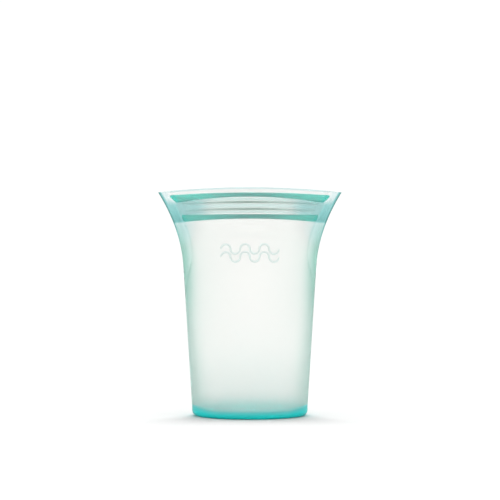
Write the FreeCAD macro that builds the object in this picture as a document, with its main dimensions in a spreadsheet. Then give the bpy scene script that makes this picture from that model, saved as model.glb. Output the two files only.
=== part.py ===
"""A standing silicone bag with a press-to-close mouth, closed and empty.

Frame: +Z up, +X to the right along the mouth, -Y to the front. The origin is on the rest plane, under
the centre of the round base. Lengths are in millimetres.

The real bag is one moulding. Its moulded regions are separate solids here, in three groups:
the base with the two side folds and the corners, the front wall with its lip, and the rear wall with
its lip. Each wall leans in from the round base to the flat mouth and swings out about the foot.
"""
import os

import FreeCAD
import Part
import Sketcher

SIZES = [
    # The whole bag
    ("height", 162, "rest plane to the top of the lips at the middle"),
    ("base_radius", 41, "outside of the round base"),
    ("wall", 1.8, "thickness of the body wall"),
    ("gap", 0.3, "clearance between pieces that move apart"),
    # The base
    ("heel_height", 7, "thick heel under the wall"),
    ("heel_width", 11, "width of the heel in plan"),
    ("heel_round", 4, "rounded outer bottom edge"),
    ("floor_low", 0.8, "underside of the floor, recessed above the rest plane"),
    ("floor_high", 3.8, "top of the floor"),
    ("flex_height", 12.5, "line about which the front and rear walls flex"),
    # The outline of the body: half its width, and half its depth
    ("side_taper", 0.0632, "growth of the half width for each unit of height"),
    ("flare_start", 106, "height at which the sides start to flare"),
    ("flare", 0.0054, "growth of the flare with the square of the height above its start"),
    ("mouth_half_depth", 3.4, "outside of each lip from the middle plane"),
    # The mouth: levels are heights at the middle of the arched lines
    ("arch_depth", 450, "centre of the arched lines below the rest plane"),
    ("top_arch_depth", 440, "centre of the arched top edge below the rest plane"),
    ("band_bottom", 139.3, "where the body wall meets the mouth"),
    ("band_skin", 1.2, "outer skin of each lip"),
    ("lower_rail_top", 143.5, "top of the solid rail under the zip"),
    ("upper_rail_bottom", 155, "bottom of the solid rail over the zip"),
    ("upper_rail_top", 159, "top of the solid rail over the zip"),
    ("pull_skin", 1.6, "thickness of the pull lips over the rails"),
    ("lower_bead_level", 146.7, "middle of the lower zip bead"),
    ("bead_pitch", 4.9, "spacing of the two zip beads"),
    ("bead_height", 1.5, "height of a zip bead"),
    ("tooth_reach", 1.7, "how far beads and ribs pass the middle plane"),
    ("zip_play", 0.35, "clearance between a bead and a rib, along the height"),
    # The moving panels: half widths
    ("panel_foot", 30, "moving wall at the flex line"),
    ("band_foot", 46.5, "moving wall where it meets the mouth"),
    ("band_tip", 58, "moving lip at the top"),
    # The corners
    ("web_half_depth", 1.5, "fused corner web"),
    ("edge_half_depth", 1.9, "thicker strip along the outer edge of a corner"),
    ("edge_width", 2.4, "width of that strip"),
    ("tip_height", 158.6, "height of a corner's tip"),
    ("wing_radius", 139, "hollow curve of a corner's outer edge"),
    # The raised ornament on the front wall: two rows of half rings
    ("ornament_level", 115.5, "middle of the ornament"),
    ("ornament_spread", 5.6, "spacing of its two rows"),
    ("ornament_radius", 3.4, "middle radius of a half ring"),
    ("ornament_stroke", 1.3, "width of the raised line"),
    ("ornament_relief", 0.5, "height of the raised line above the wall"),
]
SECTIONS = 8
HALF_RINGS = 6
ROWS = (-0.5, 0.5)
FAR = 70

doc = FreeCAD.newDocument("standing_zip_bag")
sheet = doc.addObject("Spreadsheet::Sheet", "sizes")
for row, (alias, value, meaning) in enumerate(SIZES, start=1):
    sheet.set(f"A{row}", meaning)
    sheet.set(f"B{row}", str(value))
    sheet.setAlias(f"B{row}", alias)
doc.recompute()

nodes = []


def value_of(formula):
    """What a formula in the sheet's aliases comes to."""
    return float(sheet.evalExpression(str(formula)))


def bind(thing, formulas):
    """Binds each property of an object to its formula."""
    for prop, formula in formulas.items():
        thing.setExpression(prop, str(formula))
    return thing


def combine(kind, name, parts):
    """A boolean of two objects, or of many for Part::MultiFuse and Part::MultiCommon."""
    result = doc.addObject(kind, name)
    if kind == "Part::Cut":
        result.Base, result.Tool = parts
    else:
        result.Shapes = parts
    return result


def node(thing, label):
    """Marks an object as a sub-part, whose label names its file."""
    thing.Label = label
    nodes.append(thing)
    return thing


# ---- The outline -------------------------------------------------------------------------------------


def half_width(level):
    """Half the outer width at a level: a straight taper, and a flare towards the mouth."""
    taper = f"sizes.side_taper * ({level} - sizes.heel_height)"
    flare = f"sizes.flare * max(0; {level} - sizes.flare_start) ^ 2"
    return f"(sizes.base_radius + {taper} + {flare})"


def half_depth(level):
    """Half the outer depth at a level, from the round base to the flat mouth."""
    rise = f"(({level} - sizes.heel_height) / (sizes.band_bottom - sizes.heel_height))"
    return f"(sizes.base_radius - (sizes.base_radius - sizes.mouth_half_depth) * {rise} ^ 2)"


def body_loft(name, inset):
    """The closed body as one smooth solid, its surface set in from the outside by inset."""
    rings = []
    for i in range(SECTIONS):
        span = "(sizes.band_bottom + 1 - sizes.heel_height)"
        level = f"(sizes.heel_height + {i / (SECTIONS - 1)} * {span})"
        ring = doc.addObject("Part::Ellipse", f"{name}_ring_{i}")
        bind(ring, {
            "MajorRadius": f"{half_width(level)} - ({inset})",
            "MinorRadius": f"{half_depth(level)} - ({inset})",
            "Placement.Base.z": level,
        })
        rings.append(ring)
    loft = doc.addObject("Part::Loft", name)
    loft.Sections = rings
    loft.Solid = True
    return loft


def trapezoid(name, side, depth, levels, reach):
    """A flat-faced block whose half width changes from reach[0] at levels[0] to reach[1] at levels[1].

    depth is its two distances from the middle plane. side is 1 for the front and -1 for the rear.
    """
    block = doc.addObject("Part::Wedge", name)
    near, far = depth if side > 0 else (f"-({depth[1]})", f"-({depth[0]})")
    bind(block, {
        "Ymin": levels[0], "Ymax": levels[1],
        "Zmin": near, "Zmax": far, "Z2min": near, "Z2max": far,
        "Xmin": f"-({reach[0]})", "Xmax": reach[0],
        "X2min": f"-({reach[1]})", "X2max": reach[1],
    })
    block.Placement.Rotation = FreeCAD.Rotation(FreeCAD.Vector(1, 0, 0), 90)
    return block


def disc_under(name, level, depth="sizes.arch_depth"):
    """A very large disc on edge, whose rim is the arched line with its middle at a level."""
    disc = doc.addObject("Part::Cylinder", name)
    disc.Height = 2 * FAR
    bind(disc, {"Radius": f"{level} + {depth}", "Placement.Base.z": f"-{depth}"})
    disc.Placement = FreeCAD.Placement(
        FreeCAD.Vector(0, FAR, 0), FreeCAD.Rotation(FreeCAD.Vector(1, 0, 0), 90))
    return disc


def arched_strip(name, low, high, high_depth="sizes.arch_depth"):
    """The space between two arched lines."""
    over = disc_under(f"{name}_over", high, high_depth)
    under = disc_under(f"{name}_under", low)
    return combine("Part::Cut", f"{name}_strip", [over, under])


def reach_at(level):
    """Half width of the moving wall at a level between the flex line and the mouth."""
    share = f"(({level} - sizes.flex_height) / (sizes.band_bottom - sizes.flex_height))"
    return f"(sizes.panel_foot + (sizes.band_foot - sizes.panel_foot) * {share})"


def band_reach_at(level):
    """Half width of the moving lip at a level in the mouth."""
    share = f"(({level} - sizes.band_bottom) / (sizes.height - sizes.band_bottom))"
    return f"(sizes.band_foot + (sizes.band_tip - sizes.band_foot) * {share})"


# ---- The base ----------------------------------------------------------------------------------------


def closed_sketch(body, name, corners, radii):
    """A closed outline on the XZ plane. Each corner is a pair of formulas, and each edge a line or an arc.

    radii holds one entry for each edge: None for a line, or (radius formula, 1 or -1), where 1 puts the
    arc's centre on the left of the way from its first corner to its second.
    """
    sketch = body.newObject("Sketcher::SketchObject", name)
    plane = [feature for feature in body.Origin.OriginFeatures if feature.Role == "XZ_Plane"][0]
    sketch.AttachmentSupport = [(plane, "")]
    sketch.MapMode = "FlatFace"
    spots = [FreeCAD.Vector(value_of(x), value_of(y), 0) for x, y in corners]
    up = FreeCAD.Vector(0, 0, 1)
    ends = []
    for i, arc in enumerate(radii):
        start, end = spots[i], spots[(i + 1) % len(spots)]
        if arc is None:
            sketch.addGeometry(Part.LineSegment(start, end), False)
            ends.append((1, 2))
            continue
        radius, turn = value_of(arc[0]), arc[1]
        chord = end - start
        left = up.cross(chord).normalize()
        rise = (radius ** 2 - (chord.Length / 2) ** 2) ** 0.5
        centre = (start + end) * 0.5 + left * (rise * turn)
        middle = centre - left * (radius * turn)
        sketch.addGeometry(Part.Arc(start, middle, end), False)
        ends.append((1, 2) if turn > 0 else (2, 1))
    for i in range(len(radii)):
        after = (i + 1) % len(radii)
        sketch.addConstraint(Sketcher.Constraint("Coincident", i, ends[i][1], after, ends[after][0]))
    for i, (x, y) in enumerate(corners):
        for kind, formula, spot in (("DistanceX", x, spots[i].x), ("DistanceY", y, spots[i].y)):
            if formula == "0":
                sketch.addConstraint(Sketcher.Constraint("PointOnObject", i, ends[i][0], -1))
                continue
            place = sketch.addConstraint(Sketcher.Constraint(kind, -1, 1, i, ends[i][0], spot))
            sketch.setExpression(f"Constraints[{place}]", formula)
    for i, arc in enumerate(radii):
        if arc is not None:
            place = sketch.addConstraint(Sketcher.Constraint("Radius", i, value_of(arc[0])))
            sketch.setExpression(f"Constraints[{place}]", arc[0])
    return sketch


def make_heel():
    """The thick ring that the bag stands on, with a coved inside that falls to the floor."""
    body = doc.addObject("PartDesign::Body", "Heel")
    inner = "sizes.base_radius - sizes.heel_width"
    corners = [
        (inner, "sizes.floor_low"),
        (f"{inner} + sizes.floor_low", "0"),
        ("sizes.base_radius - sizes.heel_round", "0"),
        ("sizes.base_radius", "sizes.heel_round"),
        ("sizes.base_radius", "sizes.heel_height"),
        ("sizes.base_radius - sizes.wall", "sizes.heel_height"),
        (inner, "sizes.floor_high"),
    ]
    cove = "sizes.heel_width * 1.5"
    radii = [None, None, ("sizes.heel_round", 1), None, None, (cove, -1), None]
    sketch = closed_sketch(body, "HeelSection", corners, radii)
    ring = body.newObject("PartDesign::Revolution", "HeelRing")
    ring.Profile = sketch
    ring.ReferenceAxis = (sketch, ["V_Axis"])
    ring.Angle = 360
    node(body, "heel_ring")


def make_floor():
    """The floor inside the heel."""
    floor = doc.addObject("Part::Cylinder", "Floor")
    bind(floor, {
        "Radius": "sizes.base_radius - sizes.heel_width",
        "Height": "sizes.floor_high - sizes.floor_low",
        "Placement.Base.z": "sizes.floor_low",
    })
    node(floor, "floor_disc")


# ---- The body wall -----------------------------------------------------------------------------------


def make_walls():
    """The round foot of the wall, the two side folds, and the two walls that swing."""
    outside = body_loft("BodyOutside", "0")
    inside = body_loft("BodyInside", "sizes.wall")
    shell = combine("Part::Cut", "Shell", [outside, inside])

    foot_zone = doc.addObject("Part::Cylinder", "FootZone")
    bind(foot_zone, {
        "Radius": FAR,
        "Height": "sizes.flex_height - sizes.heel_height",
        "Placement.Base.z": "sizes.heel_height",
    })
    node(combine("Part::MultiCommon", "WallFoot", [shell, foot_zone]), "wall_foot")

    under_mouth = disc_under("UnderMouth", "sizes.band_bottom")
    trimmed = combine("Part::MultiCommon", "TrimmedShell", [shell, under_mouth])
    top = "sizes.band_bottom + 2"
    for side, word in ((1, "front"), (-1, "rear")):
        low = "sizes.flex_height + sizes.gap"
        zone = trapezoid(f"{word}_zone", side, ("0", FAR), (low, top), (reach_at(low), reach_at(top)))
        node(combine("Part::MultiCommon", f"{word}_panel", [trimmed, zone]), f"{word}_wall")

    low = "sizes.flex_height"
    wide = [f"{reach_at(level)} + sizes.gap" for level in (low, top)]
    middle = trapezoid("PanelsZone", 1, (-FAR, FAR), (low, top), wide)
    folds = combine("Part::Cut", "Folds", [trimmed, middle])
    for sign, word in ((-1, "left"), (1, "right")):
        half = doc.addObject("Part::Box", f"{word}_half")
        half.Length, half.Width = FAR, 2 * FAR
        bind(half, {"Height": "sizes.height", "Placement.Base.z": "sizes.flex_height"})
        half.Placement.Base.x = 0 if sign > 0 else -FAR
        half.Placement.Base.y = -FAR
        node(combine("Part::MultiCommon", f"{word}_fold", [folds, half]), f"{word}_side_fold")


# ---- The mouth ---------------------------------------------------------------------------------------


def make_strip(label, side, depth, low, high, high_depth="sizes.arch_depth"):
    """One arched bar of a lip: depth is its near and far distance from the middle plane."""
    levels = ("sizes.band_bottom - 5", "sizes.height + 1")
    reach = [band_reach_at(level) for level in levels]
    block = trapezoid(f"{label}_block", side, depth, levels, reach)
    strip = arched_strip(label, low, high, high_depth)
    node(combine("Part::MultiCommon", f"{label}_bar", [block, strip]), label)


def make_lips():
    """Both lips: an outer skin, a solid rail over and under the zip, and a pull lip at the top."""
    skin = "(sizes.mouth_half_depth - sizes.band_skin)"
    touch = "sizes.gap / 2"
    for side, word in ((1, "front"), (-1, "rear")):
        make_strip(f"{word}_lip_skin", side, (skin, "sizes.mouth_half_depth"),
                   "sizes.band_bottom", "sizes.upper_rail_top")
        make_strip(f"{word}_lower_rail", side, (touch, skin),
                   "sizes.band_bottom", "sizes.lower_rail_top")
        make_strip(f"{word}_upper_rail", side, (touch, skin),
                   "sizes.upper_rail_bottom", "sizes.upper_rail_top")
        near = "sizes.mouth_half_depth - sizes.pull_skin"
        make_strip(f"{word}_pull_lip", side, (near, "sizes.mouth_half_depth"),
                   "sizes.upper_rail_top", "sizes.height", "sizes.top_arch_depth")


def make_zip():
    """Two beads on the front lip press between three ribs on the rear lip."""
    skin = "(sizes.mouth_half_depth - sizes.band_skin)"
    depth = ("-sizes.tooth_reach", skin)
    half = "sizes.bead_height / 2"
    lower = "sizes.lower_bead_level"
    upper = "(sizes.lower_bead_level + sizes.bead_pitch)"
    for level, word in ((lower, "lower"), (upper, "upper")):
        make_strip(f"{word}_zip_bead", 1, depth, f"{level} - {half}", f"{level} + {half}")
    clear = f"({half} + sizes.zip_play)"
    ribs = {
        "lower": ("sizes.lower_rail_top + sizes.zip_play", f"{lower} - {clear}"),
        "middle": (f"{lower} + {clear}", f"{upper} - {clear}"),
        "upper": (f"{upper} + {clear}", "sizes.upper_rail_bottom - sizes.zip_play"),
    }
    for word, (low, high) in ribs.items():
        make_strip(f"{word}_zip_rib", -1, depth, low, high)


def make_corners():
    """The fused web in each corner of the mouth, and the thicker strip along its outer edge."""
    low = "(sizes.band_bottom + sizes.gap)"

    def arch_height(level, x, depth="sizes.arch_depth"):
        return f"(sqrt(({level} + {depth}) ^ 2 - ({x}) ^ 2) - {depth})"

    foot_width = half_width(arch_height(low, half_width(low)))
    edge_foot = (foot_width, arch_height(low, foot_width))
    web_foot = (f"{foot_width} - sizes.edge_width",
                arch_height(low, f"({foot_width} - sizes.edge_width)"))
    tip = (half_width("sizes.tip_height"), "sizes.tip_height")
    inner_tip_x = f"({tip[0]} - sizes.edge_width)"
    inner_tip = (inner_tip_x, arch_height("sizes.height", inner_tip_x, "sizes.top_arch_depth"))
    near_foot_x = f"({band_reach_at('sizes.band_bottom')} + sizes.gap)"
    near_foot = (near_foot_x, arch_height(low, near_foot_x))
    near_tip_x = f"({band_reach_at('sizes.height')} + sizes.gap)"
    near_tip = (near_tip_x, arch_height("sizes.height", near_tip_x, "sizes.top_arch_depth"))

    under = (f"{low} + sizes.arch_depth", -1)
    over = ("sizes.height + sizes.top_arch_depth", 1)
    hollow_up, hollow_down = ("sizes.wing_radius", -1), ("sizes.wing_radius", 1)
    plans = [
        ("Web", "corner_web", [near_foot, web_foot, inner_tip, near_tip],
         [under, hollow_up, over, None], "sizes.web_half_depth"),
        ("Edge", "corner_edge", [web_foot, edge_foot, tip, inner_tip],
         [None, hollow_up, None, hollow_down], "sizes.edge_half_depth"),
    ]
    for stem, word, corners, radii, depth in plans:
        body = doc.addObject("PartDesign::Body", f"Right{stem}")
        sketch = closed_sketch(body, f"{stem}Outline", corners, radii)
        plate = body.newObject("PartDesign::Pad", f"{stem}Plate")
        plate.Profile = sketch
        plate.SideType = "Symmetric"
        bind(plate, {"Length": f"2 * {depth}"})
        node(body, f"right_{word}")
        mirrored = doc.addObject("Part::Mirroring", f"Left{stem}")
        mirrored.Source = body
        mirrored.Normal = (1, 0, 0)
        node(mirrored, f"left_{word}")


# ---- The ornament ------------------------------------------------------------------------------------


def make_ornament():
    """Two raised ripples on the front wall, each a row of half rings that turn up and down in turn."""
    grown = body_loft("BodyGrown", "-sizes.ornament_relief")
    outside = body_loft("BodyBare", "0")
    relief = combine("Part::Cut", "Relief", [grown, outside])
    pieces = []
    for row, share in enumerate(ROWS):
        for i in range(HALF_RINGS):
            discs = []
            for sign, word in ((1, "rim"), (-1, "bore")):
                disc = doc.addObject("Part::Cylinder", f"ripple_{row}_{i}_{word}")
                disc.Angle = 180
                turn = 90 if i % 2 else -90
                disc.Placement.Rotation = FreeCAD.Rotation(FreeCAD.Vector(1, 0, 0), turn)
                disc.Placement.Base.y = 0 if i % 2 else -FAR
                bind(disc, {
                    "Radius": f"sizes.ornament_radius + {sign} * sizes.ornament_stroke / 2",
                    "Height": FAR,
                    "Placement.Base.x": f"{2 * i - HALF_RINGS + 1} * sizes.ornament_radius",
                    "Placement.Base.z": f"sizes.ornament_level + {share} * sizes.ornament_spread",
                })
                discs.append(disc)
            pieces.append(combine("Part::Cut", f"ripple_{row}_{i}", discs))
    ripples = combine("Part::MultiFuse", "Ripples", pieces)
    front = trapezoid("OrnamentZone", 1, ("0", FAR), ("0", "sizes.height"), (FAR, FAR))
    node(combine("Part::MultiCommon", "Ornament", [ripples, relief, front]), "raised_ripples")


# ---- Build, test and write ---------------------------------------------------------------------------

make_heel()
make_floor()
make_walls()
make_lips()
make_zip()
make_corners()
make_ornament()
doc.recompute()

for thing in doc.Objects:
    if any(word in thing.State for word in ("Invalid", "Error")):
        raise RuntimeError(f"{thing.Name} ({thing.Label}) failed: {thing.State}")
for thing in nodes:
    if thing.Shape.isNull() or not thing.Shape.isValid():
        raise RuntimeError(f"{thing.Label} has no valid shape")

os.makedirs("parts", exist_ok=True)
for thing in nodes:
    thing.Shape.exportStep(f"parts/{thing.Label}.step")
    box = thing.Shape.optimalBoundingBox()
    print(f"{thing.Label:18s} {len(thing.Shape.Solids)} solid(s) {thing.Shape.Volume:9.1f} mm3  "
          f"x {box.XMin:6.1f} {box.XMax:6.1f}  y {box.YMin:6.1f} {box.YMax:6.1f}  "
          f"z {box.ZMin:6.1f} {box.ZMax:6.1f}")
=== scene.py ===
import math

import bmesh
import bpy
import numpy as np
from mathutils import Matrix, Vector


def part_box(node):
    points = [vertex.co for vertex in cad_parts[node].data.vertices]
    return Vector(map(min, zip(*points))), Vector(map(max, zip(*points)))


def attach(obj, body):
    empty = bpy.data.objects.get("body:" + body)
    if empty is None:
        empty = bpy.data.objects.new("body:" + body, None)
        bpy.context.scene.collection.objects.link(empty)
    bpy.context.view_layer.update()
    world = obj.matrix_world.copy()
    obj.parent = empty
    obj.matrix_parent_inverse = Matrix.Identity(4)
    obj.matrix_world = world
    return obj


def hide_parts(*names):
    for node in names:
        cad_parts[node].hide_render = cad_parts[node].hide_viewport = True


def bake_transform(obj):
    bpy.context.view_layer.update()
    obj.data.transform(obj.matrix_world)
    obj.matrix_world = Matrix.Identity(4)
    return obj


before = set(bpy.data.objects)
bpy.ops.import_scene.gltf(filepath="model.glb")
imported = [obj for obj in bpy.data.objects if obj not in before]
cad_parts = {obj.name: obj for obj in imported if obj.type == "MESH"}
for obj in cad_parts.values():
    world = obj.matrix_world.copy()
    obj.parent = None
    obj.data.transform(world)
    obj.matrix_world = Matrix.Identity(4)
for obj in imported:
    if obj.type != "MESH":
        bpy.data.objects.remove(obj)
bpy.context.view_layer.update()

# A standing silicone bag, closed and empty. Shapes are worked out in millimetres from the frame's boxes,
# and every mesh is made in metres.
MM = 0.001


def top_of(node):
    """The highest corner of a CAD node's box, in millimetres."""
    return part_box(node)[1] / MM


def foot_of(node):
    """The lowest corner of a CAD node's box, in millimetres."""
    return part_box(node)[0] / MM


# ---- Sizes -------------------------------------------------------------------------------------------

# The base
BASE_RADIUS = top_of("heel_ring").x
HEEL_TOP = top_of("heel_ring").z
HEEL_ROUND = 4.0
FLOOR_LOW = foot_of("floor_disc").z
FLOOR_HIGH = top_of("floor_disc").z
FLOOR_RADIUS = top_of("floor_disc").x
FLEX = top_of("wall_foot").z

# The outline of the body
HEIGHT = top_of("front_pull_lip").z
WALL = 1.8
SIDE_TAPER = 0.0632
FLARE_START = HEIGHT - 56
FLARE = 0.0054
ARCH = 1 / 1200

# The mouth
LIP_DEPTH = -foot_of("front_lip_skin").y
SKIN_DEPTH = -top_of("front_lip_skin").y
SKIN_GAP = 0.04
PULL_SKIN = 1.6
CREST_ROUND = 0.7
BAND_BOTTOM = top_of("front_wall").z
BAND_REACH = 46.5
BAND_SLANT = (top_of("front_pull_lip").x - BAND_REACH) / (HEIGHT - BAND_BOTTOM)
LOWER_RAIL_TOP = top_of("front_lower_rail").z
UPPER_RAIL_TOP = top_of("front_upper_rail").z
RAIL_NEAR = foot_of("rear_lower_rail").y
BEAD_TOPS = (top_of("lower_zip_bead").z, top_of("upper_zip_bead").z)
BEAD_HEIGHT = 1.5
RIB_TOPS = tuple(top_of(f"{word}_zip_rib").z for word in ("lower", "middle", "upper"))
RIB_HEIGHTS = (1.7, 2.7, 1.9)
TOOTH_REACH = top_of("lower_zip_bead").y

# The corners
WEB_DEPTH = 1.5
EDGE_DEPTH = 1.9
EDGE_WIDTH = 2.4

# The raised ripples: two rows of half rings
RIPPLE_LEVEL = (foot_of("raised_ripples").z + top_of("raised_ripples").z) / 2
RIPPLE_ROWS = (-0.5, 0.5)
RIPPLE_SPREAD = 5.6
RIPPLE_RADIUS = 3.4
RIPPLE_STROKE = 1.3
RIPPLE_RELIEF = 0.6
RIPPLE_ROOT = 0.25
HALF_RINGS = 6

# Moulded lines are level below ROUND_TOP, and the body's section is an ellipse below ELLIPSE_TOP.
ROUND_TOP = 60
ELLIPSE_TOP = 70

# How finely the meshes are cut
COLUMNS = 144
SHARP_ANGLE = math.radians(42)


def smooth(low, high, value):
    """0 below low, 1 above high, and a smooth step between them."""
    t = np.clip((np.asarray(value, float) - low) / (high - low), 0, 1)
    return t * t * (3 - 2 * t)


def mix(a, b, share):
    """a where share is 0, b where it is 1, and in between elsewhere."""
    return a + (b - a) * share


# ---- The moulding's surfaces -------------------------------------------------------------------------
# A level is the height of a moulded line at the middle of the bag. The line arches, so it drops with x.


def half_width(z):
    """Half the outer width at a height: a straight taper that flares towards the mouth."""
    flare = FLARE * np.maximum(0, z - FLARE_START) ** 2
    return BASE_RADIUS + SIDE_TAPER * (z - HEEL_TOP) + flare


def half_depth(level):
    """Half the outer depth: from the round base to the flat mouth."""
    rise = np.clip((level - HEEL_TOP) / (BAND_BOTTOM - HEEL_TOP), 0, 1)
    return BASE_RADIUS - (BASE_RADIUS - LIP_DEPTH) * rise ** 2


def arch(level, x):
    """How far a moulded line drops at x."""
    return ARCH * smooth(ROUND_TOP, BAND_BOTTOM, level) * x ** 2


def edge_reach(level):
    """Half width of the bag along a moulded line."""
    return half_width(level - arch(level, half_width(level)))


def open_reach(level):
    """Half width of the inside. Outside it the two skins are fused."""
    mouth = BAND_REACH + BAND_SLANT * (level - BAND_BOTTOM)
    return mix(half_width(level) - WALL, mouth, smooth(BAND_BOTTOM - 47, BAND_BOTTOM - 2, level))


def lens(x, reach, level):
    """1 in the middle and 0 at reach: an ellipse low down, and a lens with thin edges at the mouth."""
    side = np.clip(1 - (x / reach) ** 2, 0, 1)
    return side ** (0.5 + 0.65 * smooth(ELLIPSE_TOP, BAND_BOTTOM, level))


def outer_depth(x, level):
    """Depth of the outer surface from the middle plane."""
    reach = edge_reach(level)
    from_edge = np.clip(reach - np.abs(x), 0, None)
    strip = 1 - smooth(EDGE_WIDTH - 0.5, EDGE_WIDTH + 0.5, from_edge)
    rounding = np.sqrt(1 - np.clip(1 - from_edge / EDGE_DEPTH, 0, 1) ** 2)
    web = mix(WEB_DEPTH, EDGE_DEPTH, strip) * rounding
    past_open = np.abs(x) - open_reach(level)
    lip = mix(LIP_DEPTH, web, smooth(1, 5, past_open))
    body = half_depth(level) * lens(x, reach, level)
    body = np.hypot(body, web * smooth(ROUND_TOP, BAND_BOTTOM - 12, level))
    return mix(body, lip, smooth(BAND_BOTTOM - 16, BAND_BOTTOM + 1, level))


def inner_depth(x, level):
    """Depth of the inner surface from the middle plane, which is 0 where the skins are fused."""
    reach = open_reach(level)
    body = (half_depth(level) - WALL) * lens(x, reach, level)
    skin = mix(SKIN_DEPTH, LIP_DEPTH - PULL_SKIN, smooth(UPPER_RAIL_TOP, HEIGHT, level))
    lip = skin * (1 - smooth(reach - 2.5, reach, np.abs(x)))
    return mix(body, lip, smooth(BAND_BOTTOM - 4, BAND_BOTTOM + 1, level))


def line(level, drop):
    """A moulded line with its middle at a level, dropping by drop at the end of the mouth."""
    return lambda x: level - drop * (x / BAND_REACH) ** 2


# ---- The look at each point --------------------------------------------------------------------------
# tint is how deep the silicone's colour is, from 0 to 1, and at the foot and the shoulders it carries
# painted shade. path is how much further than straight through a thin wall the light goes, and towards the
# body's sides it carries painted shade. Pairs of numbers are where a change starts and ends, as levels or as
# reaches from the middle.

FOOT_PATH = 0.24
FOOT_PATH_TOP = 75
FOLD_PATH = 1.5
FOLD_WIDTH = 6.2
FOLD_GROWS = (65, 112)
FOLD_THINS = (118, 136)
# Painted shade: a broad darkening towards the sides of the body.
SIDE_SHADE_PATH = 0.4
SIDE_SHADE_WIDTH = 14
SIDE_SHADE_GROWS = (40, 80)

# Painted shade: a neutral grey over the wall's foot, for the dimmer light near the floor.
FOOT_SHADE = 0.06
FOOT_SHADE_TOP = 50
WEB_TINT = 0.8
HIGH_WEB_TINT = 0.66
TIP_FADE = 0.42
ZIP_END_TINT = 0.29
ZIP_SIDE_TINT = 0.1
ZIP_END_SPAN = (24, 40)
# Painted shade on the shoulders under the corners of the mouth.
SHOULDER_SHADE = 0.16
SHOULDER_SPAN = (28, 48)
SHOULDER_GROWS = (116, 134)
OUTLINE_TINT = 0.45
OUTLINE_START = 118
CREST_TINT = 0.26
LIP_TINT = 0.06
RIPPLE_TINT = 0.2


def foot_path(level):
    """The wall thickens towards its foot."""
    return FOOT_PATH * (1 - smooth(HEEL_TOP, FOOT_PATH_TOP, level))


def foot_painted_shade(level):
    """Painted shade: the wall is painted a neutral grey near its foot, for the dimmer light near the floor.
    """
    return FOOT_SHADE * (1 - smooth(FLEX, FOOT_SHADE_TOP, level))


def heel_tint(x, height):
    """The heel is deepest at its bottom, and over more of its height at the two sides."""
    side = smooth(BASE_RADIUS - 16, BASE_RADIUS, np.abs(x))
    return 1 - smooth(mix(0.8, 3.5, side), HEEL_TOP + mix(1.5, 2.5, side), height)


def tip_share(level):
    """0 low in the corners of the mouth, and 1 in their pale tips."""
    return smooth(UPPER_RAIL_TOP - 8, UPPER_RAIL_TOP - 1.5, level)


def web_tint(past_open, level):
    """The fused corners beside the mouth, which are paler in their tips."""
    depth = mix(WEB_TINT, HIGH_WEB_TINT, smooth(BAND_BOTTOM, UPPER_RAIL_TOP - 9, level))
    web = depth * smooth(-1, 1, past_open) * smooth(BAND_BOTTOM - 2, BAND_BOTTOM + 0.8, level)
    return web * mix(1, TIP_FADE * smooth(-1, 4, past_open), tip_share(level))


def zip_end_tint(x, past_open, level):
    """The ends of the zip, between the rails."""
    above = smooth(LOWER_RAIL_TOP - 0.5, LOWER_RAIL_TOP + 0.5, level)
    below = 1 - smooth(UPPER_RAIL_TOP - 6, UPPER_RAIL_TOP - 3.5, level)
    across = ZIP_END_TINT * smooth(*ZIP_END_SPAN, np.abs(x)) + ZIP_SIDE_TINT * smooth(-5, -4, past_open)
    return above * below * across


def shoulder_painted_shade(x, past_open, level):
    """Painted shade on the two sides of the wall under the corners of the mouth."""
    below = 1 - smooth(LOWER_RAIL_TOP - 2.5, LOWER_RAIL_TOP - 0.5, level)
    across = smooth(*SHOULDER_SPAN, np.abs(x)) * (1 + 1.2 * smooth(-1, 1, past_open))
    return SHOULDER_SHADE * across * smooth(*SHOULDER_GROWS, level) * below


def outline_tint(from_edge, level):
    """A thin line along the edge of the upper body and the corners, and the strip inside it at the tips."""
    rim = (1 - smooth(0.4, 1.4, from_edge)) * smooth(OUTLINE_START, BAND_BOTTOM, level)
    strip = (1 - smooth(EDGE_WIDTH - 0.8, EDGE_WIDTH, from_edge)) * tip_share(level)
    return OUTLINE_TINT * (rim + strip)


def skin_tint(x, level):
    """The tint of a skin. The lip over the upper rail and its crest are a little deeper than the wall, and
    painted shade darkens the shoulders under the corners and the wall's foot.
    """
    past_open = np.abs(x) - open_reach(level)
    from_edge = edge_reach(level) - np.abs(x)
    crest = CREST_TINT * smooth(HEIGHT - 1.5, HEIGHT - 0.6, level)
    lip = LIP_TINT * smooth(UPPER_RAIL_TOP - 1, UPPER_RAIL_TOP + 0.5, level)
    regions = [web_tint(past_open, level), zip_end_tint(x, past_open, level),
               shoulder_painted_shade(x, past_open, level), crest, lip]
    return np.maximum.reduce(regions) + foot_painted_shade(level) + outline_tint(from_edge, level)


def skin_path(x, level):
    """The path of a skin: the walls thicken into the folds at the sides of the upper body, where they run
    together, and a broad painted shade darkens the wall towards its sides. Light crosses a fused stretch
    half as often, so each crossing counts twice there."""
    from_edge = edge_reach(level) - np.abs(x)
    under_mouth = 1 - smooth(BAND_BOTTOM - 3, BAND_BOTTOM + 1, level)
    fold = FOLD_PATH * np.exp(-(from_edge / FOLD_WIDTH) ** 2) * smooth(*FOLD_GROWS, level)
    fold = fold * (1 - 0.8 * smooth(*FOLD_THINS, level))
    # Painted shade: a broad darkening towards the sides of the body.
    side = SIDE_SHADE_PATH * np.exp(-from_edge / SIDE_SHADE_WIDTH) * smooth(*SIDE_SHADE_GROWS, level)
    fused = smooth(-1, 1, np.abs(x) - open_reach(level))
    return foot_path(level) + (fold + side) * (1 + fused) * under_mouth


# ---- Meshes ------------------------------------------------------------------------------------------


def sharpen(mesh):
    """Keeps shading smooth inside a surface, but not round a corner or into another material."""
    work = bmesh.new()
    work.from_mesh(mesh)
    for edge in work.edges:
        sides = edge.link_faces
        if len(sides) == 2:
            turned = edge.calc_face_angle(0) > SHARP_ANGLE
            edge.smooth = not turned and sides[0].material_index == sides[1].material_index
    work.to_mesh(mesh)
    work.free()


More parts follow.
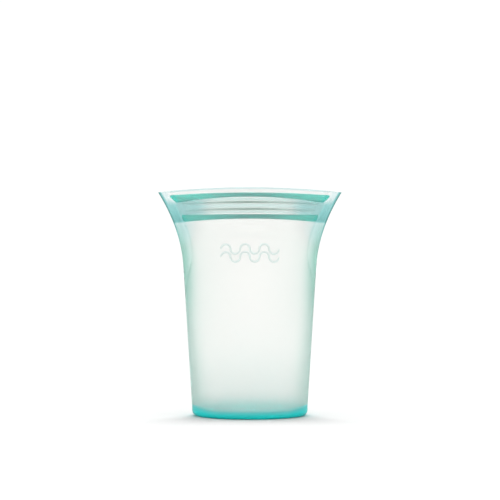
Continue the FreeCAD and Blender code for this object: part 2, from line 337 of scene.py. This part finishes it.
def make_object(name, points, faces, materials, slots=None):
    """A smooth-shaded mesh object from points in millimetres."""
    mesh = bpy.data.meshes.new(name)
    mesh.from_pydata([tuple(p * MM for p in point) for point in points], [], faces)
    for material in materials:
        mesh.materials.append(material)
    if slots is not None:
        mesh.polygons.foreach_set("material_index", slots)
    mesh.polygons.foreach_set("use_smooth", [True] * len(mesh.polygons))
    mesh.validate()
    sharpen(mesh)
    thing = bpy.data.objects.new(name, mesh)
    bpy.context.scene.collection.objects.link(thing)
    return thing


def set_look(thing, tint, path=0.0):
    """Stores the tint and the path of each point."""
    for name, values in (("tint", tint), ("path", path)):
        layer = thing.data.attributes.new(name, "FLOAT", "POINT")
        values = np.broadcast_to(np.asarray(values, np.float32), len(thing.data.vertices))
        layer.data.foreach_set("value", np.ascontiguousarray(values))


def swing(thing, body, x, levels):
    """Bakes a piece's transform into its mesh."""
    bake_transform(thing)


def ring_faces(first, rings, count):
    """Faces of a closed tube whose points start at first: rings of count points, with both ends capped."""
    faces = []
    for i in range(rings - 1):
        for j in range(count):
            a, b = first + i * count + j, first + i * count + (j + 1) % count
            faces.append((a, b, b + count, a + count))
    last = first + (rings - 1) * count
    faces.append(tuple(range(first, first + count))[::-1])
    faces.append(tuple(range(last, last + count)))
    return faces


def skin_levels():
    """Levels of a skin's rows: wide on the body, close at the mouth, closest over the round crest."""
    crest = HEIGHT - CREST_ROUND * (1 - np.sin(np.linspace(0, math.pi / 2, 8)))
    rows = [np.linspace(FLEX, BAND_BOTTOM - 16, 46), np.linspace(BAND_BOTTOM - 16, BAND_BOTTOM - 1, 12),
            np.linspace(BAND_BOTTOM - 1, crest[0], 44), crest]
    return np.concatenate([rows[0]] + [row[1:] for row in rows[1:]])


def skin_surfaces(levels):
    """x and depth of a skin's outer surface and of its inner one, with a row for each level. The two
    surfaces meet at both edges and round the crest."""
    turn = np.linspace(-math.pi / 2, math.pi / 2, COLUMNS + 1)[None, :]
    inner_turn = np.linspace(-math.pi / 2, math.pi / 2, COLUMNS - 1)[None, :]
    x_out = edge_reach(levels) * np.sin(turn)
    x_in = x_out.copy()
    free = open_reach(levels) * np.sin(inner_turn)
    x_in[:, 1:-1] = mix(free, x_out[:, 1:-1], smooth(BAND_BOTTOM - 24, BAND_BOTTOM, levels))
    d_out, d_in = outer_depth(x_out, levels), inner_depth(x_in, levels)
    d_in[:, [0, -1]] = 0
    d_out[:, [0, -1]] = 0
    past = np.clip((levels - (HEIGHT - CREST_ROUND)) / CREST_ROUND, 0, 1)
    closing = np.sqrt(1 - past ** 2)
    middle = d_in + (d_out - d_in) / 2 * smooth(0, 1, d_in)
    d_out = middle + (d_out - middle) * closing
    d_in = middle - (middle - d_in) * closing
    return x_out, d_out, x_in, d_in


def make_skin(name, body, side, materials):
    """One skin of the bag, from the foot to the crest, as an outer and an inner surface. side is -1 for
    the front and 1 for the rear."""
    levels = skin_levels()[:, None]
    x_out, d_out, x_in, d_in = skin_surfaces(levels)
    rows, columns = x_out.shape
    outer = np.arange(rows * columns).reshape(rows, columns)
    inner = outer.copy()
    points, point_levels, point_x = [], [], []

    def add(x, depth, level):
        points.append((x, side * depth, level - arch(level, x)))
        point_levels.append(level)
        point_x.append(x)

    for r in range(rows):
        for c in range(columns):
            add(x_out[r, c], d_out[r, c], levels[r, 0])
    for r in range(rows - 1):
        for c in range(1, columns - 1):
            inner[r, c] = len(points)
            add(x_in[r, c], d_in[r, c], levels[r, 0])

    faces, slots = [], []

    def face(corners, slot):
        corners = list(dict.fromkeys(int(i) for i in corners))
        if len(corners) > 2:
            faces.append(corners if side < 0 else corners[::-1])
            slots.append(slot)

    for r in range(rows - 1):
        for c in range(columns - 1):
            face((outer[r, c], outer[r, c + 1], outer[r + 1, c + 1], outer[r + 1, c]), 0)
            quad = (inner[r, c], inner[r + 1, c], inner[r + 1, c + 1], inner[r, c + 1])
            fused = all(abs(points[i][1]) < 1e-4 for i in quad)
            face(quad, 1 if fused else 0)
    for c in range(columns - 1):
        face((outer[0, c], inner[0, c], inner[0, c + 1], outer[0, c + 1]), 1)

    thing = make_object(name, points, faces, materials, slots)
    place = np.array(point_x), np.array(point_levels)
    set_look(thing, skin_tint(*place), skin_path(*place))
    swing(thing, body, *place)
    return thing


def make_bar(name, body, side, edges, depths, insets, material, tint=(0, 0)):
    """A bar along the mouth with a rounded section. edges gives the heights of its bottom and its top at
    x, and insets how far in from the fused corners its bottom and its top end. tint is for its middle
    and its ends."""
    stations = np.concatenate([[-1, -0.997, -0.99], np.linspace(-0.98, 0.98, 97), [0.99, 0.997, 1]])
    turns = np.linspace(0, 2 * math.pi, 24, endpoint=False)
    squircle = [np.sign(f(turns)) * np.abs(f(turns)) ** 0.45 for f in (np.cos, np.sin)]
    bottom, top = edges
    near, far = depths
    points, levels, xs = [], [], []
    for s in stations:
        closing = max(0.08, math.sqrt(max(0.0, 1 - max(0.0, (abs(s) - 0.98) / 0.02) ** 2)))
        for u, v in zip(*squircle):
            share = 0.5 + 0.5 * v * closing
            inset = mix(*insets, share)
            x = s * (open_reach(mix(bottom(0.0), top(0.0), share)) - inset)
            level = mix(bottom(x), top(x), share)
            level = level + arch(level, x)
            x = s * (open_reach(level) - inset)
            depth = (near + far) / 2 + (far - near) / 2 * u * closing
            points.append((x, side * depth, mix(bottom(x), top(x), share)))
            levels.append(level)
            xs.append(x)
    faces = ring_faces(0, len(stations), len(turns))
    if side < 0:
        faces = [corners[::-1] for corners in faces]
    thing = make_object(name, points, faces, [material])
    set_look(thing, mix(*tint, smooth(0, BAND_REACH, np.abs(xs))))
    swing(thing, body, xs, levels)
    return thing


def wall_point(x, level):
    """A point of the front wall's outer surface and the way out of the wall there."""
    def place(x, level):
        return Vector((x, -float(outer_depth(x, level)), level - float(arch(level, x))))
    along = place(x + 0.2, level) - place(x - 0.2, level)
    up = place(x, level + 0.2) - place(x, level - 0.2)
    return place(x, level), along.cross(up).normalized()


def ripple_line(row):
    """The middle of one row of half rings, as x and level."""
    spots = []
    for ring in range(HALF_RINGS):
        centre = (ring - (HALF_RINGS - 1) / 2) * 2 * RIPPLE_RADIUS
        up = -1 if ring % 2 else 1
        for turn in np.linspace(math.pi, 0, 17)[(1 if ring else 0):]:
            rise = up * RIPPLE_RADIUS * math.sin(turn)
            spots.append(Vector((centre + RIPPLE_RADIUS * math.cos(turn),
                                 RIPPLE_LEVEL + row * RIPPLE_SPREAD + rise)))
    return spots


def make_ripples(name, material):
    """Two raised rows of half rings on the front wall, as half-round lines with fading ends."""
    section = [(RIPPLE_STROKE / 2 * math.cos(t), RIPPLE_RELIEF * math.sin(t))
               for t in np.linspace(0, math.pi, 9)]
    section += [(-RIPPLE_STROKE / 2, -RIPPLE_ROOT), (RIPPLE_STROKE / 2, -RIPPLE_ROOT)]
    fading = (0.25, 0.7, 0.93)
    points, faces, levels, xs = [], [], [], []
    for row in RIPPLE_ROWS:
        spots = ripple_line(row)
        faces += ring_faces(len(points), len(spots), len(section))
        for i, spot in enumerate(spots):
            way = (spots[min(i + 1, len(spots) - 1)] - spots[max(i - 1, 0)]).normalized()
            across = Vector((-way.y, way.x))
            from_end = min(i, len(spots) - 1 - i)
            fade = fading[from_end] if from_end < len(fading) else 1
            for offset, height in section:
                flat = spot + across * offset * fade
                surface, out = wall_point(flat.x, flat.y)
                points.append(tuple(surface + out * (height * fade if height > 0 else height)))
                levels.append(flat.y)
                xs.append(flat.x)
    thing = make_object(name, points, faces, [material])
    set_look(thing, RIPPLE_TINT)
    swing(thing, "front_lip", xs, levels)
    return thing


def base_profile():
    """The section of the base, from the middle of its underside to the middle of the floor inside. Each
    point is a reach, an inset and a height, and a reach of None follows the wall. Also the number of the
    last point of the wall's outside."""
    round_centre = BASE_RADIUS - HEEL_ROUND
    profile = [(0, 0, FLOOR_LOW), (FLOOR_RADIUS - 1, 0, FLOOR_LOW), (FLOOR_RADIUS - 0.2, 0, FLOOR_LOW - 0.1),
               (FLOOR_RADIUS + 0.6, 0, 0.1), (FLOOR_RADIUS + 1.4, 0, 0), (round_centre, 0, 0)]
    for turn in np.radians(np.linspace(10, 90, 9)):
        reach = round_centre + HEEL_ROUND * math.sin(turn)
        profile.append((reach, 0, HEEL_ROUND * (1 - math.cos(turn))))
    profile.append((BASE_RADIUS, 0, (HEEL_ROUND + HEEL_TOP) / 2))
    wall_heights = np.linspace(HEEL_TOP, FLEX, 12)
    profile += [(None, 0, z) for z in wall_heights]
    last_outside = len(profile) - 1
    profile += [(None, WALL, z) for z in wall_heights[::-1][:-1]]
    round_reach = BASE_RADIUS - WALL - FLOOR_RADIUS + 2
    round_rise = HEEL_TOP + 0.6 - FLOOR_HIGH
    for turn in np.radians(np.linspace(0, 90, 14)):
        profile.append((FLOOR_RADIUS - 2 + round_reach * math.cos(turn) ** 0.8, 0,
                        HEEL_TOP + 0.6 - round_rise * math.sin(turn)))
    profile += [(FLOOR_RADIUS - 6, 0, FLOOR_HIGH), (FLOOR_RADIUS / 2, 0, FLOOR_HIGH), (0, 0, FLOOR_HIGH)]
    return profile, last_outside


def make_base(name, materials):
    """The thick heel, the floor and the foot of the wall, as one turned piece."""
    profile, last_outside = base_profile()
    around = np.linspace(0, 2 * math.pi, 2 * COLUMNS, endpoint=False)
    points, rings = [], []
    for reach, inset, z in profile:
        if reach == 0:
            rings.append([len(points)] * len(around))
            points.append((0, 0, z))
            continue
        wide = half_width(z) - inset if reach is None else reach
        deep = half_depth(z) - inset if reach is None else reach
        rings.append(list(range(len(points), len(points) + len(around))))
        points += [(wide * math.cos(t), deep * math.sin(t), z) for t in around]
    faces, slots = [], []
    for i in range(len(rings) - 1):
        for j in range(len(around)):
            k = (j + 1) % len(around)
            corners = list(dict.fromkeys((rings[i][j], rings[i][k], rings[i + 1][k], rings[i + 1][j])))
            faces.append(corners)
            slots.append(1 if i == last_outside else 0)
    thing = make_object(name, points, faces, materials, slots)
    x, _, height = np.array(points).T
    # The heel's tint, or the painted shade at the wall's foot where that is deeper.
    tint = np.maximum(heel_tint(x, height), foot_painted_shade(height))
    set_look(thing, tint, foot_path(height) * smooth(HEEL_ROUND, FLEX, height))
    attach(thing, "cup")
    return thing


# ---- Materials ---------------------------------------------------------------------------------------


def new_material(name):
    """An empty node material, its nodes and its links."""
    material = bpy.data.materials.new(name)
    material.use_nodes = True
    material.node_tree.nodes.clear()
    return material, material.node_tree.nodes, material.node_tree.links


def math_node(nodes, operation, *inputs):
    """A math node with its constant inputs set, in order. None leaves an input to be linked."""
    node = nodes.new("ShaderNodeMath")
    node.operation = operation
    for socket, value in zip(node.inputs, inputs):
        if value is not None:
            socket.default_value = value
    return node


def attribute(nodes, name):
    """The value of a point's attribute."""
    node = nodes.new("ShaderNodeAttribute")
    node.attribute_name = name
    return node.outputs["Fac"]


def noise(nodes, links, scale, detail):
    """Noise over the object's own space."""
    place = nodes.new("ShaderNodeTexCoord")
    node = nodes.new("ShaderNodeTexNoise")
    node.inputs["Scale"].default_value = scale
    node.inputs["Detail"].default_value = detail
    links.new(place.outputs["Object"], node.inputs["Vector"])
    return node.outputs["Fac"]


def colour_ramp(nodes, links, source, stops):
    """The colour socket of a ramp through (position, colour) stops, read at the source socket."""
    node = nodes.new("ShaderNodeValToRGB")
    elements = node.color_ramp.elements
    while len(elements) < len(stops):
        elements.new(0.5)
    for element, (position, colour) in zip(elements, stops):
        element.position = position
    for element, (position, colour) in zip(elements, stops):
        element.color = (*colour, 1)
    links.new(source, node.inputs["Fac"])
    return node.outputs["Color"]


def further_path(nodes, links):
    """How much further than straight through the light goes: by the slant of the wall, and by the path
    attribute. The slant counts as 1 / (cosine + 0.12), so it stays finite where the wall is seen edge on."""
    facing = nodes.new("ShaderNodeLayerWeight")
    facing.inputs["Blend"].default_value = 0.5
    cosine = math_node(nodes, "SUBTRACT", 1.12, None)
    links.new(facing.outputs["Facing"], cosine.inputs[1])
    crossing = math_node(nodes, "DIVIDE", 1.0, None)
    links.new(cosine.outputs[0], crossing.inputs[1])
    over = math_node(nodes, "SUBTRACT", None, 1.1)
    links.new(crossing.outputs[0], over.inputs[0])
    slant = math_node(nodes, "MAXIMUM", None, 0.0)
    links.new(over.outputs[0], slant.inputs[0])
    further = math_node(nodes, "ADD")
    links.new(slant.outputs[0], further.inputs[0])
    links.new(attribute(nodes, "path"), further.inputs[1])
    return further.outputs[0]


def silicone(name, stops, edge, haze, roughness):
    """Translucent satin silicone. stops gives its colours along the tint. edge gives, along the tint, what
    each further thickness of wall leaves of the light, and haze the share of the light that it scatters.
    Where either has one stop, it is the same all over."""
    material, nodes, links = new_material(name)
    output = nodes.new("ShaderNodeOutputMaterial")
    shader = nodes.new("ShaderNodeBsdfPrincipled")
    tint = attribute(nodes, "tint")
    uneven = math_node(nodes, "MULTIPLY_ADD", None, 0.025, None)
    links.new(noise(nodes, links, 30, 3), uneven.inputs[0])
    links.new(tint, uneven.inputs[2])
    left = nodes.new("ShaderNodeGamma")
    if len(edge) > 1:
        links.new(colour_ramp(nodes, links, tint, edge), left.inputs["Color"])
    else:
        left.inputs["Color"].default_value = (*edge[0][1], 1)
    links.new(further_path(nodes, links), left.inputs["Gamma"])
    product = nodes.new("ShaderNodeMix")
    product.data_type = "RGBA"
    product.blend_type = "MULTIPLY"
    product.inputs["Factor"].default_value = 1
    links.new(colour_ramp(nodes, links, uneven.outputs[0], stops), product.inputs["A"])
    links.new(left.outputs["Color"], product.inputs["B"])
    links.new(product.outputs["Result"], shader.inputs["Base Color"])
    if len(haze) > 1:
        clear = [(position, (1 - share,) * 3) for position, share in haze]
        links.new(colour_ramp(nodes, links, tint, clear), shader.inputs["Transmission Weight"])
    else:
        shader.inputs["Transmission Weight"].default_value = 1 - haze[0][1]

    shader.inputs["Roughness"].default_value = roughness
    shader.inputs["IOR"].default_value = 1.12
    shader.inputs["Coat Weight"].default_value = 0.3
    shader.inputs["Coat Roughness"].default_value = 0.3
    shader.inputs["Coat IOR"].default_value = 1.4
    bump = nodes.new("ShaderNodeBump")
    bump.inputs["Strength"].default_value = 0.15
    bump.inputs["Distance"].default_value = 0.0002
    links.new(noise(nodes, links, 900, 2), bump.inputs["Height"])
    links.new(bump.outputs["Normal"], shader.inputs["Normal"])
    links.new(shader.outputs[0], output.inputs["Surface"])
    return material


def seam_material():
    """Faces inside the fused moulding, which nothing shows."""
    material, nodes, links = new_material("fused_inside")
    output = nodes.new("ShaderNodeOutputMaterial")
    shader = nodes.new("ShaderNodeBsdfTransparent")
    links.new(shader.outputs[0], output.inputs["Surface"])
    return material


THIN = (0.995, 0.992, 0.978)
# A neutral grey for the painted shade at the wall's foot.
SHADE_GREY = (0.95, 0.945, 0.935)
PALE = (0.80, 0.90, 0.90)
WEB = (0.29, 0.63, 0.62)
OUTLINE = (0.12, 0.36, 0.34)
WALL_EDGE = (0.76, 0.885, 0.855)
HEEL_EDGE = (0.45, 0.93, 0.925)
SOLID_EDGE = (0.9, 0.95, 0.94)


def wall_silicone():
    """The thin skins, whose tint deepens in the corners and along the outline, with painted shade at the
    foot, on the shoulders under the corners and towards the sides.
    """
    stops = [(0, THIN), (0.08, SHADE_GREY), (0.25, PALE), (0.7, WEB), (1, OUTLINE)]
    return silicone("wall_silicone", stops, [(0, WALL_EDGE)], [(0, 0.08)], 0.45)


def heel_silicone():
    """The base: as thin and clear as the walls at its top, and thick and milky in the heel."""
    # The last stop is lighter than the one before: painted light on the heel's bottom edge, which faces the
    # floor and sits in shade.
    stops = [(0, THIN), (0.08, SHADE_GREY), (0.45, (0.22, 0.80, 0.785)), (0.85, (0.05, 0.82, 0.79)),
             (1, (0.02, 0.84, 0.82))]
    edge = [(0.08, WALL_EDGE), (0.12, HEEL_EDGE)]
    return silicone("heel_silicone", stops, edge, [(0, 0.08), (0.3, 0.6)], 0.45)


def rail_silicone():
    """The solid rails, which are deeper in the middle of the mouth."""
    stops = [(0, (0.08, 0.88, 0.80)), (1, (0.02, 0.60, 0.56))]
    return silicone("rail_silicone", stops, [(0, SOLID_EDGE)], [(0, 0.3)], 0.4)


def bead_silicone():
    """The beads and ribs of the zip. The beads are smoky in the middle of the mouth."""
    stops = [(0, (0.78, 0.99, 0.98)), (1, (0.30, 0.47, 0.41))]
    return silicone("bead_silicone", stops, [(0, SOLID_EDGE)], [(0, 0.15)], 0.4)


# ---- Build -------------------------------------------------------------------------------------------


def build_skins(wall, seam):
    """Both skins. Each node is replaced once, so the front skin stands for the left side's nodes and the
    rear skin for the right side's, though each covers half of both sides."""
    front = make_skin("front_skin", "front_lip", -1, [wall, seam])
    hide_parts("front_wall", "front_lip_skin", "front_pull_lip", "left_side_fold", "left_corner_web",
                "left_corner_edge")
    rear = make_skin("rear_skin", "rear_lip", 1, [wall, seam])
    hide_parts("rear_wall", "rear_lip_skin", "rear_pull_lip", "right_side_fold", "right_corner_web",
                "right_corner_edge")


def build_base(heel, seam):
    """The base under both skins."""
    base = make_base("base", [heel, seam])
    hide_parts("heel_ring", "floor_disc", "wall_foot")


def build_rails(rail):
    """The solid rails under and over the zip, on both lips. The ends of the upper ones slant outwards."""
    lower = (line(BAND_BOTTOM + 0.5, 2.4), line(LOWER_RAIL_TOP - 0.5, 0.6))
    upper = (line(UPPER_RAIL_TOP - 3.6, 3.5), line(UPPER_RAIL_TOP - 0.6, 1.4))
    for side, lip in ((-1, "front"), (1, "rear")):
        for place, edges, insets in (("lower", lower, (-0.3, -0.3)), ("upper", upper, (0.3, -2.4))):
            bar = make_bar(f"{lip}_{place}_rail", f"{lip}_lip", side, edges,
                           (RAIL_NEAR, SKIN_DEPTH - SKIN_GAP), insets, rail, (0.9, 0.0))
            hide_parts(f"{lip}_{place}_rail")


def build_zip(bead):
    """The two beads on the front lip and the three ribs that they press between on the rear one."""
    depths = (-TOOTH_REACH, SKIN_DEPTH - SKIN_GAP)
    insets = (4, 4)
    for place, top in zip(("lower", "upper"), BEAD_TOPS):
        edges = (line(top - BEAD_HEIGHT, 1.4), line(top, 1.4))
        bar = make_bar(f"{place}_zip_bead", "front_lip", -1, edges, depths, insets, bead, (1.0, 0.3))
        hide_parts(f"{place}_zip_bead")
    for place, top, height in zip(("lower", "middle", "upper"), RIB_TOPS, RIB_HEIGHTS):
        edges = (line(top - height, 1.4), line(top, 1.4))
        bar = make_bar(f"{place}_zip_rib", "rear_lip", 1, edges, depths, insets, bead)
        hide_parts(f"{place}_zip_rib")


def build_ripples(wall):
    """The raised ornament on the front wall."""
    ripples = make_ripples("raised_ripples", wall)
    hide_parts("raised_ripples")


WALL_SILICONE = wall_silicone()
SEAM = seam_material()
build_skins(WALL_SILICONE, SEAM)
build_base(heel_silicone(), SEAM)
build_rails(rail_silicone())
build_zip(bead_silicone())
build_ripples(WALL_SILICONE)

# ---- Stage, lights and camera ------------------------------------------------------------------------


def make_stage():
    """A wide pale floor."""
    reach = 20000
    albedo = 0.64
    corners = [(-reach, -reach, 0), (reach, -reach, 0), (reach, reach, 0), (-reach, reach, 0)]
    material, nodes, links = new_material("pale_floor")
    output = nodes.new("ShaderNodeOutputMaterial")
    shader = nodes.new("ShaderNodeBsdfDiffuse")
    shader.inputs["Color"].default_value = (albedo, albedo, albedo, 1)
    links.new(shader.outputs[0], output.inputs["Surface"])
    make_object("floor", corners, [(0, 1, 2, 3)], [material])


def make_light(name, kind, place, aim, power, size):
    """A soft lamp at a place in metres, aimed at a point. size is degrees for a sun, and metres if not."""
    light = bpy.data.lights.new(name, kind)
    light.energy = power
    if kind == "SUN":
        light.angle = math.radians(size)
    else:
        light.size = size
    thing = bpy.data.objects.new(name, light)
    thing.location = place
    thing.rotation_euler = (Vector(aim) - Vector(place)).to_track_quat("-Z", "Y").to_euler()
    bpy.context.scene.collection.objects.link(thing)


def make_camera():
    """A long lens in front of the bag, level with the upper body."""
    aside, distance, eye_height, frame_width = 0.1, 1450, 117.5, 355.5
    camera = bpy.data.cameras.new("camera")
    camera.lens = camera.sensor_width * distance / frame_width
    thing = bpy.data.objects.new("camera", camera)
    thing.location = Vector((aside, -distance, eye_height)) * MM
    thing.rotation_euler = (math.pi / 2, 0, 0)
    bpy.context.scene.collection.objects.link(thing)
    bpy.context.scene.camera = thing


def make_world():
    """Even white light from all round."""
    world = bpy.data.worlds.new("studio")
    world.use_nodes = True
    background = world.node_tree.nodes["Background"]
    background.inputs["Color"].default_value = (1, 1, 1, 1)
    background.inputs["Strength"].default_value = 1.04
    bpy.context.scene.world = world


make_stage()
make_world()
make_light("key", "SUN", (0, 0.46, 1.3), (0, 0, 0), 1.95, 20)
make_light("fill", "AREA", (0.6, -1.6, 1.1), (0, 0, 0.08), 1.7, 1.4)
make_camera()
bpy.context.scene.view_settings.view_transform = "Standard"
